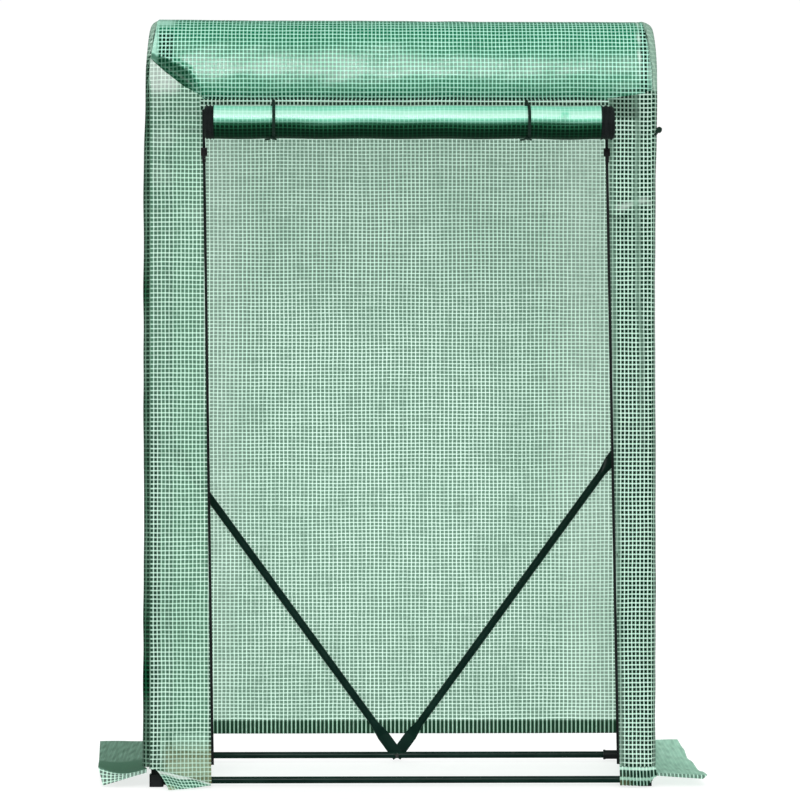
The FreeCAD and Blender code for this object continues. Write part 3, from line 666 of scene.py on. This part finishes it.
def make_rear_panel():
    """Rear wall with a doubled hem, hanging a little loose between the rear posts."""
    columns = np.linspace(-1, 1, 150)
    heights = np.linspace(HEM, REAR_FOOT, 190)
    x = columns[None, :] * seam_x(heights)[:, None]
    z = np.broadcast_to(heights[:, None], x.shape)
    calm = ramp(np.abs(x), seam_x(1.0), seam_x(1.0) - 0.06)
    waves = 0.0016 * ripple(41, x, z, 0.38) + 0.0005 * ripple(42, x, z, 0.08)
    y = REAR - SKIN + calm * (waves - 0.0012)
    points = grid_of(x, y, z)
    hem = 0.027
    straight = np.maximum(z, mid_cell(REAR_FOOT + hem, ACROSS))
    cloth = grid_of(x, straight)
    turn = np.linspace(0, 1, 9)[1:]
    back = grid_of(x[-1], y[-1] - 0.0016, REAR_FOOT + turn[:, None] * hem)
    points = np.concatenate([points, back])
    cloth = np.concatenate([cloth, np.broadcast_to(cloth[-1], back[..., :2].shape)])
    sewn = ramp(points[..., 2], REAR_FOOT + hem + 0.006, REAR_FOOT + hem - 0.002)
    high = points[..., 2]
    # Painted light: paler towards the sides and the top, darker towards the foot. The hem's doubled cells are
    # darker.
    painted_light = 0.15 * ramp(np.abs(points[..., 0]), 0.28, 0.40)
    painted_light = painted_light + 0.04 * ramp(high, 0.9, 1.25) - 0.06 * ramp(high, 0.6, 0.2)
    return grid_sheet("cover_rear_panel", points, cloth, "wall", deep=-painted_light * (1 - sewn), clear=0.50 * sewn)


TAPE_WIDTH = 0.009
# How far beyond the door's line the strip, the tape's free edge and the curtain's edge lie. The curtain's
# leaves room for the sliders.
TAPE_OVERLAP, TAPE_REACH, CURTAIN_INSET = 0.0040, 0.0093, 0.0143
# Where that line ends.
DOOR_TOP = 1.33


def door_edge(side, z):
    """X at a height of the line beside the door opening that the tape and the strip are set out from."""
    low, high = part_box(f"zip_tape_{side}")
    share = (np.asarray(z, float) - STRIP_FOOT) / (high.z - STRIP_FOOT)
    lean = low.x - (high.x - TAPE_WIDTH)
    if side == "left":
        return high.x - TAPE_REACH + lean * share
    return high.x - TAPE_WIDTH + TAPE_REACH + lean * share


def strip_foot(sign, share):
    """Height at which a front strip ends, from its outer edge (share 0) to the door (share 1)."""
    if sign < 0:
        return 0.037 - 0.029 * np.asarray(share) ** 1.3
    return 0.040 + 0 * np.asarray(share)


def foot_kick(share):
    """How far forward a front strip's foot stands. Beside the door it lies back, clear of the slider."""
    return 0.008 * ramp(share, 0.95, 0.60)


def make_strip(side, sign):
    """Front strip beside the door, from its foot up to its seam with the roof."""
    share = np.linspace(0, 1, 40)
    outer_x = sign * float(seam_x(1.0))
    foot = strip_foot(sign, share)[None, :]
    levels = np.linspace(0, 1, 300)
    line = FOLD_LOW if sign < 0 else SEAM_RIGHT
    rough_top = line_at(line, outer_x + share * (door_edge(side, DOOR_TOP) - sign * TAPE_OVERLAP - outer_x))
    rough_top = np.maximum(rough_top, HEM + 0.002)
    v_top = np.where(rough_top > HEM, HEM + run_at(rough_top), rough_top)
    v = foot + levels[:, None] * (v_top[None, :] - foot)
    above = np.maximum(v - HEM, 0)
    spot, way = on_roof(above)
    z = np.where(v > HEM, spot[..., 1], v)
    inner_x = door_edge(side, np.minimum(z, DOOR_TOP)) - sign * TAPE_OVERLAP
    x = outer_x + share[None, :] * (inner_x - outer_x)
    x = np.where(z > 1.34, np.sign(x) * np.minimum(np.abs(x), seam_x(z)), x)
    seed = 61 if sign < 0 else 62
    waves = 0.0013 * ripple(seed, x, z, 0.22) + 0.0006 * ripple(seed + 9, x * 1.5, z, 0.05)
    calm = np.minimum(ramp(share, 0, 0.2), ramp(share, 1, 0.9))[None, :]
    off = -SKIN + calm * waves + 0.0008
    kick = foot_kick(share)[None, :] * ramp(z, 0.10, foot) ** 2
    y = np.where(v > HEM, MIDDLE + spot[..., 0] + way[..., 0] * off, FRONT - off) - kick
    z = np.where(v > HEM, z + way[..., 1] * off, z)
    paint = paint_strip(side, x, z, share[None, :] + 0 * z)
    points = grid_of(x, y, z)
    cloth = grid_of(x, v)
    grids = facing(sign, points, cloth)
    return grid_sheet(f"cover_front_panel_{side}", *grids, "strip", **mirrored(sign, paint))


def paint_strip(side, x, z, share):
    """Where a front strip is painted darker or paler: painted shade in its folds and where the dark inside or
    the post shows through, painted highlights on its creases and corner, its doubled dark seam, and on the
    left a painted reflection of the ground at its foot.
    """
    post_x, fold_x, crease_z, line_z = -0.481, 0.461, 1.139, 1.118
    if side == "left":
        # Left: dark cells, painted shade where the post stands behind, near the door's foot and faintly
        # everywhere.
        post_shade = ramp(np.abs(x - post_x), 0.013, 0.008)
        edge = ramp(share, 0.93, 0.96)
        clear = np.maximum(0.85 * post_shade * ramp(z, 0.95, 0.60), 0.7 * edge * ramp(z, 0.45, 0.20))
        clear = np.maximum(clear, 0.20)
        # A painted highlight where the cloth turns over the corner and along creases, a dark stitched seam,
        # and at the foot a brown painted reflection of the ground.
        painted_light = ramp(z, 1.345, 1.37) * ramp(x, -0.425, -0.44)
        stitch = ramp(share, 0.028, 0.012) * ramp(z, 1.39, 1.37)
        crease_shading = ramp(ripple(68, x * 0.6, z, 0.11), 0.2, 1.6) * ramp(z, 0.9, 1.2)
        deep = -0.55 * painted_light - 0.16 * crease_shading * (1 - painted_light) * (1 - stitch) + 0.9 * stitch
        warm = ramp(z, 0.10, 0.05) * ramp(x, -0.47, -0.45)
        return {"deep": deep + 0.10 * warm, "clear": clear, "warm": 0.55 * warm}
    # Right: a darker patch at the top; painted shade in the fold, near the door and along a line; a painted
    # highlight along a crease; elsewhere dark cells, painted shade of the dark inside.
    patch = ramp(x, 0.468, 0.462) * ramp(z, 1.303, 1.309)
    drift = 0.010 * ramp(z, 1.15, 0.75) + 0.002 * np.sin(z * 31)
    fold_shade = bell(x, fold_x + drift, 0.0055) * ramp(z, 0.55, 0.95)
    edge = ramp(share, 0.82, 0.92) * (0.6 + 0.4 * ramp(ripple(67, x, z * 0.3, 0.05), -0.6, 0.6))
    swept = z - 0.006 * np.sin(x * 70)
    painted_light = bell(swept, crease_z, 0.006) * (0.5 + 0.5 * ramp(ripple(66, x, z, 0.02), -0.5, 0.8))
    line = bell(swept, line_z, 0.004) * ramp(share, 0.35, 0.6)
    smooth = np.maximum(fold_shade, edge)
    deep = 0.55 * patch + (0.30 * smooth + 0.45 * line) * (1 - patch) - 0.35 * painted_light
    return {"deep": deep, "clear": 0.98 - 0.6 * smooth - 0.5 * painted_light, "plain": 0.35 * smooth + 0.3 * painted_light}


def make_tape(side, sign):
    """Zip tape along the door opening, with its nylon coil on the free edge."""
    low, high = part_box(f"zip_tape_{side}")
    levels = np.linspace(0, 1, 160)
    z = low.z + levels * (high.z - low.z)
    free = door_edge(side, z) - sign * TAPE_REACH
    across = np.linspace(0, 1, 5)
    x = free[:, None] + sign * (TAPE_WIDTH - across[None, :] * TAPE_WIDTH)
    y = FRONT + SKIN + 0.0004 * ripple(70, x, z[:, None], 0.03)
    points = grid_of(x, y, z[:, None])
    if sign > 0:
        points = points[:, ::-1]
    tape = grid_sheet(f"zip_tape_cloth_{side}", points, points[..., [0, 2]], "tape", "zip_tape")
    coil = make_coil(f"zip_coil_{side}", z, free, sign)
    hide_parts(f"zip_tape_{side}")
    for piece in (tape, coil):
        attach(piece, "frame")
    return [tape, coil]


def make_coil(name, z, free, sign):
    """Row of the coil's small teeth."""
    pitch, width, tall, thick = 0.0021, 0.0030, 0.0013, 0.0021
    spots = np.arange(z[0] + pitch, z[-1] - pitch, pitch)
    outline = [(0, -0.5), (0.75, -0.5), (1, -0.2), (1, 0.2), (0.75, 0.5), (0, 0.5)]
    verts, faces = [], []
    for height in spots:
        x = float(np.interp(height, z, free))
        start = len(verts)
        for depth in (-0.5, 0.5):
            for reach, rise in outline:
                out = sign * (width - reach * width)
                verts.append((x + out, FRONT + SKIN + depth * thick, height + rise * tall))
        ring = len(outline)
        faces.append([start + i for i in range(ring)])
        faces.append([start + ring + i for i in reversed(range(ring))])
        for i in range(ring):
            j = (i + 1) % ring
            faces.append([start + i, start + ring + i, start + ring + j, start + j])
    mesh = bpy.data.meshes.new(name)
    mesh.from_pydata(verts, [], faces)
    return new_object(name, mesh, "coil")


def make_hem():
    """Doubled hem over the door, and the bright piping along the roof's seam above it."""
    low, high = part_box("cover_door_hem")
    x = np.linspace(low.x, high.x, 130)
    profile = [(FRONT - 0.0012, PIPING_Z + 0.002), (FRONT - 0.0016, 1.3385), (FRONT - 0.0014, 1.331),
               (FRONT - 0.0010, low.z + 0.001), (FRONT, low.z), (FRONT + 0.0008, low.z + 0.002),
               (FRONT + 0.0010, HEM - 0.001)]
    rows = []
    for y, z in profile:
        shift = 0.0004 * ripple(81, x, np.full_like(x, z), 0.05)
        rows.append(grid_of(x, y + shift, z))
    points = np.array(rows)
    run = distance_along(profile)
    cloth = grid_of(x, PIPING_Z - 0.0005 - run[:, None])
    hem = grid_sheet("cover_door_hem_fold", points, cloth, "strip", deep=0.10, clear=0.9)
    route = [(a, FRONT - 0.0016 + 0.0003 * math.sin(90 * a), PIPING_Z - 0.0015 + 0.0006 * math.sin(23 * a))
             for a in x[::3] if a > -0.352]
    piping = tube_along("cover_door_piping", route, 0.0009, "thread")
    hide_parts("cover_door_hem")
    for piece in (hem, piping):
        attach(piece, "frame")


# ---------------------------------------------------------------- the door, rolled up

ROLL_LOW, ROLL_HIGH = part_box("door_roll")
# How much lower the roll hangs than its CAD solid, and its extra radius.
ROLL_SAG, ROLL_LOOSE = 0.0030, 0.0003
ROLL_Y = (ROLL_LOW.y + ROLL_HIGH.y) / 2
ROLL_Z = (ROLL_LOW.z + ROLL_HIGH.z) / 2 - ROLL_SAG
ROLL_RADIUS = (ROLL_HIGH.z - ROLL_LOW.z) / 2
ROLL_CORE = 0.009
ROLL_TURNS = 9.5
ROLL_END = math.radians(-12)


def roll_spiral(turn, swell=0.0):
    """Radius of the roll at a turn counted from its core."""
    return ROLL_CORE + (ROLL_RADIUS + ROLL_LOOSE + swell - ROLL_CORE) * turn / ROLL_TURNS


def roll_angle(turn):
    """Angle round the roll at a turn counted from its core."""
    return 2 * math.pi * (turn - ROLL_TURNS) + ROLL_END


def make_roll():
    """The door cloth wound up from its foot: a real spiral, its free run coming off the back to the hem."""
    steps = int(ROLL_TURNS * 56)
    turn = np.linspace(0, ROLL_TURNS, steps + 1)
    angle = roll_angle(turn)
    x = np.linspace(ROLL_LOW.x, ROLL_HIGH.x, 64)
    loose = 0.0007 * ripple(91, x[None, :], turn[:, None] * 0.07, 0.16)
    sag = 0.0006 * np.cos(x * 40)[None, :]
    radius = roll_spiral(turn)[:, None] + loose * (turn / ROLL_TURNS)[:, None]
    y = ROLL_Y - radius * np.cos(angle)[:, None]
    z = ROLL_Z + radius * np.sin(angle)[:, None] - sag
    points = grid_of(x, y, z)
    run = distance_along(points[:, 0])
    cloth = grid_of(x, run[:, None])
    # Painted shade under the roll, with dark plain cells, and along a crease; a painted highlight over its
    # upper front.
    upward = np.sin(angle)[:, None] + 0.04 * ripple(92, x[None, :], angle[:, None] * 0.05, 0.2)
    underside_shade = ramp(upward, 0.20, -0.26)
    crease_shading = bell(x, 0.3145 + 0.004 * upward, 0.0013)
    painted_highlight = ramp(upward, 0.12, 0.35) * ramp(upward, 0.80, 0.55)
    deep = 0.98 * underside_shade + 0.3 * crease_shading * (1 - underside_shade) - 0.28 * painted_highlight * (1 - crease_shading)
    clear = 0.3 * ramp(upward, 0.15, 0.0) + 0.6 * ramp(upward, -0.10, -0.40)
    plain = 0.8 * ramp(upward, -0.25, -0.6)
    roll = grid_sheet("door_cloth_roll", points, cloth, "roll", deep=deep, clear=clear, plain=plain)
    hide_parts("door_roll")
    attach(roll, "door")
    return roll, float(run[-1])


def make_roll_edge(side):
    """Black zip tape of the door's edge, wound with it."""
    low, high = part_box(f"roll_zip_edge_{side}")
    steps = int(ROLL_TURNS * 44)
    turn = np.linspace(0, ROLL_TURNS, steps + 1)
    angle = roll_angle(turn)
    share = np.linspace(0, 1, 13)
    if side == "left":
        share = share[::-1]
    x = np.linspace(0, 1, 13) * (high.x - low.x) + low.x
    ridge = 0.0014 * np.cos(share * 2 * math.pi * 2.5) - 0.0015 * ramp(share, 0.8, 1.0)
    jitter = 0.0011 * ripple(95 if side == "left" else 96, turn[:, None], 0 * turn[:, None], 1.0)
    radius = roll_spiral(turn, 0.0005)[:, None] + ridge[None, :]
    wide = x[None, :] + jitter * share[None, :]
    y = ROLL_Y - radius * np.cos(angle)[:, None]
    z = ROLL_Z + radius * np.sin(angle)[:, None]
    points = grid_of(wide, y, z)
    run = distance_along(points[:, 0])
    cloth = grid_of(wide, run[:, None])
    edge = grid_sheet(f"door_zip_edge_{side}", points, cloth, "tape", "zip_tape")
    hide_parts(f"roll_zip_edge_{side}")
    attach(edge, "door")
    return edge


def make_tie(side):
    """Flat tape from the hem round the roll, with its knot and ends underneath."""
    low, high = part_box(f"roll_tie_{side}")
    middle, width = (low.x + high.x) / 2, high.x - low.x
    around = np.linspace(math.pi / 2, -3 * math.pi / 2, 73)
    radius = ROLL_RADIUS + 0.0014
    line = [(FRONT - 0.0030, 1.3420), (FRONT - 0.0036, 1.3380), (FRONT - 0.0090, 1.3320)]
    line += [(ROLL_Y - radius * math.cos(a), ROLL_Z + radius * math.sin(a)) for a in around]
    line = np.array(line)
    run = distance_along(line)
    across = np.linspace(-0.5, 0.5, 5)
    slant = 0.0022 * np.sin(run * 16)
    points = grid_of(middle + across * width + slant[:, None], line[:, :1], line[:, 1:])
    cloth = grid_of(across * width, run[:, None])
    band = grid_sheet(f"roll_tie_band_{side}", points, cloth, "tie", "tie_cord")
    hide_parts(f"roll_tie_{side}")
    bottom = ROLL_Z - ROLL_RADIUS
    ends = [
        [(0, 0, 0.002), (0.004, -0.002, -0.0005), (0.009, -0.001, -0.0025), (0.015, 0.001, -0.003)],
        [(0, 0, 0.002), (-0.003, -0.003, 0.0), (0.001, -0.0045, -0.0015), (0.004, -0.002, 0.001),
         (0, 0, 0.001)],
        [(0, 0, 0.001), (-0.004, 0.001, -0.001), (-0.007, 0.002, -0.0030)],
    ]
    parts = []
    for i, route in enumerate(ends):
        spots = [(middle - a, ROLL_Y - 0.012 + b, bottom + 0.0005 + c) for a, b, c in route]
        parts.append(tube_along(f"tie_end_{side}_{i}", spots, 0.0017, "tie"))
    knot = joined(f"roll_tie_knot_{side}", parts)
    for piece in (band, knot):
        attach(piece, "door")
    return [band, knot]


DROP = next(j["range_m"][1] for j in frame["joints"] if j["name"] == "door_drop")


def make_curtain():
    """Free run of the door cloth between the hem and the roll. It is what lengthens as the door comes down,
    and each of its rows is as wide as the opening is where that row comes to hang."""
    low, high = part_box("door_curtain")
    share = np.linspace(0, 1, 90)[:, None]
    follow = share * share * (3 - 2 * share)
    z = high.z - share * (high.z - low.z)
    hung = z - follow * DROP
    edge = np.array([0, 0.004, 0.010, 0.0115])
    across = np.concatenate([edge, np.linspace(0.02, 0.98, 60), 1 - edge[::-1]])[None, :]
    left = door_edge("left", hung) + CURTAIN_INSET
    right = door_edge("right", hung) - CURTAIN_INSET
    x = left + across * (right - left)
    y = (low.y + high.y) / 2
    points = grid_of(x, y, z)
    cloth = grid_of(x, hung)
    taped = ramp(np.minimum(across, 1 - across), 0.0115, 0.010) + 0 * x
    curtain = grid_sheet("door_cloth_run", points, cloth, "wall", deep=taped, clear=taped, plain=taped)
    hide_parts("door_curtain")
    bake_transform(curtain)


# ---------------------------------------------------------------- flaps on the ground


def make_side_flap(side, sign):
    """Flap of cover that stands out from a side wall's foot, with its front edge turned down."""
    depth = np.linspace(0, 1, 60)[:, None]
    out = np.linspace(0, 1, 30)[None, :]
    front_y, rear_y = FRONT + 0.012, REAR - 0.012
    if sign < 0:
        reach_front, reach_rear = 0.088, 0.119
        front_z = 0.036 + 0.004 * out - 0.011 * np.sin(math.pi * out)
        fall = front_z - 0.0290 + 0.0250 * out
    else:
        reach_front, reach_rear = 0.102, 0.089
        front_z = 0.027 - 0.005 * out
        fall = 0.005 + 0.002 * out
    reach = reach_front + (reach_rear - reach_front) * depth + (sign > 0) * 0.004 * np.sin(depth * 9) * depth
    y = front_y + depth * (rear_y - front_y) + 0 * out
    x = float(gable_x(0.06, sign)) + out * reach - 0.007 * (1 - out) * ramp(depth, 0.08, 0.0)
    z = front_z + (0.041 - front_z) * ramp(depth, 0, 1)
    waves = (0.0015 + 0.0007 * sign) * ripple(104 + sign, x, y, 0.14)
    z = z - 0.010 * out * np.sin(math.pi * depth) + waves * out
    points = grid_of(sign * x, y, z)
    turn = np.linspace(1, 0, 9)[:-1, None]
    hem = grid_of(points[0, :, 0] - sign * 0.010 * turn * out[0],
                  front_y - 0.004 * np.sin(turn * math.pi / 2) - 0.006 * turn,
                  np.maximum(points[0, :, 2] - turn * fall, 0.0015))
    points = np.concatenate([hem, points])
    along = np.concatenate([-0.036 * turn, depth * (rear_y - front_y)])
    cloth = grid_of(points[..., 0], along)
    in_hem = 1.0 * (along < 0) + 0 * out
    laid = 1 - in_hem
    crinkle = ripple(108 + sign, points[..., 0], 0.2 * points[..., 1], 0.012)
    # Painted shade: the left flap is painted dark, darker over its front half and varied along its crinkles,
    # with its turned hem a little paler; the right flap is darkened a little along its crinkles. Both hems
    # have dark cells.
    if sign < 0:
        front_half = ramp(along, 0.225, 0.185)
        deep = 0.78 + 0.16 * front_half + 0.09 * crinkle * (1 - front_half)
        paint = {"deep": deep * laid - 0.10 * in_hem, "plain": (0.50 + 0.40 * front_half) * laid,
                 "clear": 0.85 * in_hem}
    else:
        paint = {"deep": (0.10 + 0.14 * crinkle) * laid, "plain": 0.70 * laid, "clear": 0.9 * in_hem}
    grids = facing(-sign, points, cloth)
    flap = grid_sheet(f"ground_flap_sheet_{side}", *grids, "flap", **mirrored(-sign, paint))
    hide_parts(f"ground_flap_{side}")
    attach(flap, "frame")


def make_front_flap(side, sign):
    """Lowest end of a front strip: kicked forward on the left, gathered into pleats on the right."""
    share = np.linspace(0, 1, 60)[None, :]
    down = np.linspace(0, 1, 22)[:, None]
    inner = float(door_edge(side, STRIP_FOOT)) - sign * TAPE_OVERLAP
    # Left: a painted highlight along the fold, some dark cells, browner towards the outer foot. Right: a
    # little darker, with dark cells as painted shade of the dark inside, browner towards the door.
    if sign < 0:
        outer, outer_foot, reach = -0.4775, -0.450, 0.048 - 0.036 * share ** 0.8
        wide = (share * (inner - outer) + outer + float(seam_x(1.0))) / (inner + float(seam_x(1.0)))
        top = strip_foot(sign, wide)
        low = 0.0015 + 0.004 * share ** 2
        lift = 0.0022 * np.sin(share * 11 + 0.6) * np.sin(math.pi * down)
        paint = {"deep": -0.85 * ramp(down, 0.02, 0.10) * ramp(down, 0.40, 0.22), "clear": 0.35 + 0 * down,
                 "warm": 0.9 * ramp(down, 0.75, 1.0) * ramp(share, 0.25, 0.05)}
    else:
        outer, outer_foot, reach = 0.4975, 0.4985, 0.012 + 0 * share
        wide = share
        top = strip_foot(sign, share)
        low = 0.0040 + 0.018 * ramp(share, 0.28, 0.0)
        lift = 0 * share
        paint = {"deep": 0.10 + 0 * down, "clear": 0.93 + 0 * down,
                 "warm": 0.25 * ramp(down, 0.4, 0.9) * ramp(share, 0.6, 0.85)}
    x_top = outer + share * (inner - outer)
    x_foot = outer_foot + share * (inner - outer_foot)
    x = x_top + (x_foot - x_top) * down
    z = top + (low - top) * down ** 1.2 + lift
    pleat = 0.0030 * np.sin(share * 60) * ramp(down, 0.1, 0.6) if sign > 0 else 0
    y = FRONT - foot_kick(wide) - down * reach - pleat
    points = grid_of(x, y, z)
    steps = np.linalg.norm(np.diff(points, axis=0), axis=2)
    run = np.concatenate([np.zeros((1, share.size)), np.cumsum(steps, axis=0)])
    level = top - run if sign < 0 else top - 0.42 * run
    cloth = grid_of(x_top * (1.0 if sign < 0 else 1.15), level)
    paint = {label: values + 0 * x for label, values in paint.items()}
    grids = facing(sign, points, cloth)
    flap = grid_sheet(f"ground_flap_sheet_front_{side}", *grids, "flap", **mirrored(sign, paint))
    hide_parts(f"ground_flap_front_{side}")
    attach(flap, "frame")


def make_corner_tie():
    """Small knotted cord at the front right corner of the cover."""
    low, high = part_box("cover_corner_tie")
    middle = (low + high) / 2
    loop = [(-0.006, 0.001, -0.001), (-0.001, -0.002, -0.004), (0.003, -0.001, -0.002), (0.004, 0.000, 0.003),
            (0.000, 0.001, 0.0045), (-0.003, 0.0, 0.002), (-0.001, -0.003, 0.001), (-0.004, -0.002, -0.005),
            (-0.008, -0.001, -0.010)]
    route = [middle + Vector(spot) for spot in loop]
    tie = tube_along("cover_corner_knot", route, 0.0026, "tie")
    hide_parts("cover_corner_tie")
    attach(tie, "frame")
    return tie


# ---------------------------------------------------------------- making everything


def make_cover():
    roof = make_roof()
    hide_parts("cover_roof")
    rear = make_rear_panel()
    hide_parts("cover_rear_wall")
    for piece in (roof, rear):
        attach(piece, "frame")
    for side, sign in (("left", -1), ("right", 1)):
        panel = make_side_panel(side, sign)
        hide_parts(f"cover_side_wall_{side}")
        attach(panel, "frame")
        [make_corner_tie()] if sign > 0 else []
        strip = make_strip(side, sign)
        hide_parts(f"cover_front_strip_{side}")
        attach(strip, "frame")
        make_tape(side, sign)
        make_side_flap(side, sign)
        make_front_flap(side, sign)
    make_hem()


def make_door():
    roll, wound = make_roll()
    make_curtain()
    ties, edges = [], []
    for side in ("left", "right"):
        edges.append(make_roll_edge(side))
        ties += make_tie(side)
    for piece in (roll, *edges, *ties):
        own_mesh(piece)


make_camera()
make_studio()
make_materials()
dress_frame()
make_cover()
make_door()
